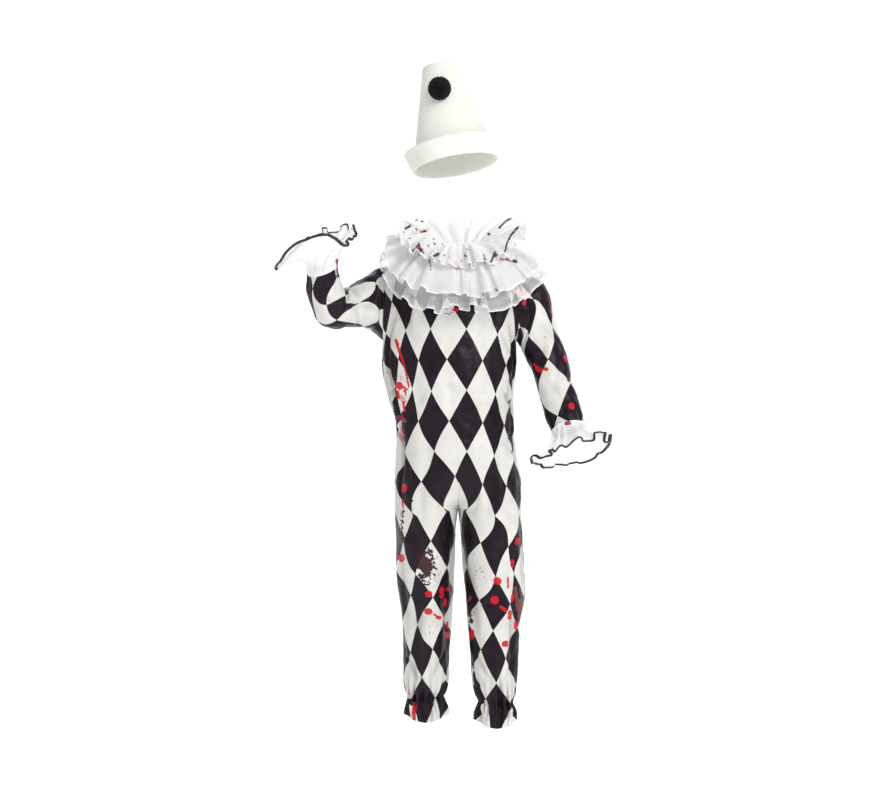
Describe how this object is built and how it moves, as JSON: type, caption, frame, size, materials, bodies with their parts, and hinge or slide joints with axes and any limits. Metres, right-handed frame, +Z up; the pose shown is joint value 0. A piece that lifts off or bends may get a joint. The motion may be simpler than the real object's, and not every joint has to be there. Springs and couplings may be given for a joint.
{
  "type": "pierrot costume",
  "caption": "Child's one-piece pierrot suit in black and white diamonds with a tiered sheer collar, bound cuff flounces and a tall felt hat, hollow as worn.",
  "frame": {"origin": "middle of the neckline, level with its sides, where the costume hangs from the wearer", "axes": "+Z up, -Y towards the costume's front, +X towards the wearer's left"},
  "size_m": [0.6795, 0.3586, 1.3924],
  "materials": {
    "satin": "polyester satin printed with black and off-white diamonds and red stains, soft sheen",
    "organza": "sheer white organza with a white satin hem line",
    "binding": "black satin binding",
    "felt": "matt white stiff felt",
    "pompom": "black yarn, matt"
  },
  "bodies": {
    "root": {"front_right": "satin", "front_left": "satin", "back_right": "satin", "back_left": "satin", "back_placket": "satin", "sleeve_right": "satin", "sleeve_left": "satin", "cuff_flounce_right": "organza", "cuff_flounce_left": "organza", "neck_band": "organza", "collar_tier_lower": "organza", "collar_tier_middle": "organza", "collar_tier_upper": "organza", "cuff_binding_right": "binding", "cuff_binding_left": "binding", "hat_crown": "felt", "hat_top": "felt", "hat_brim": "felt", "hat_pompom": "pompom"}
  },
  "joints": []
}
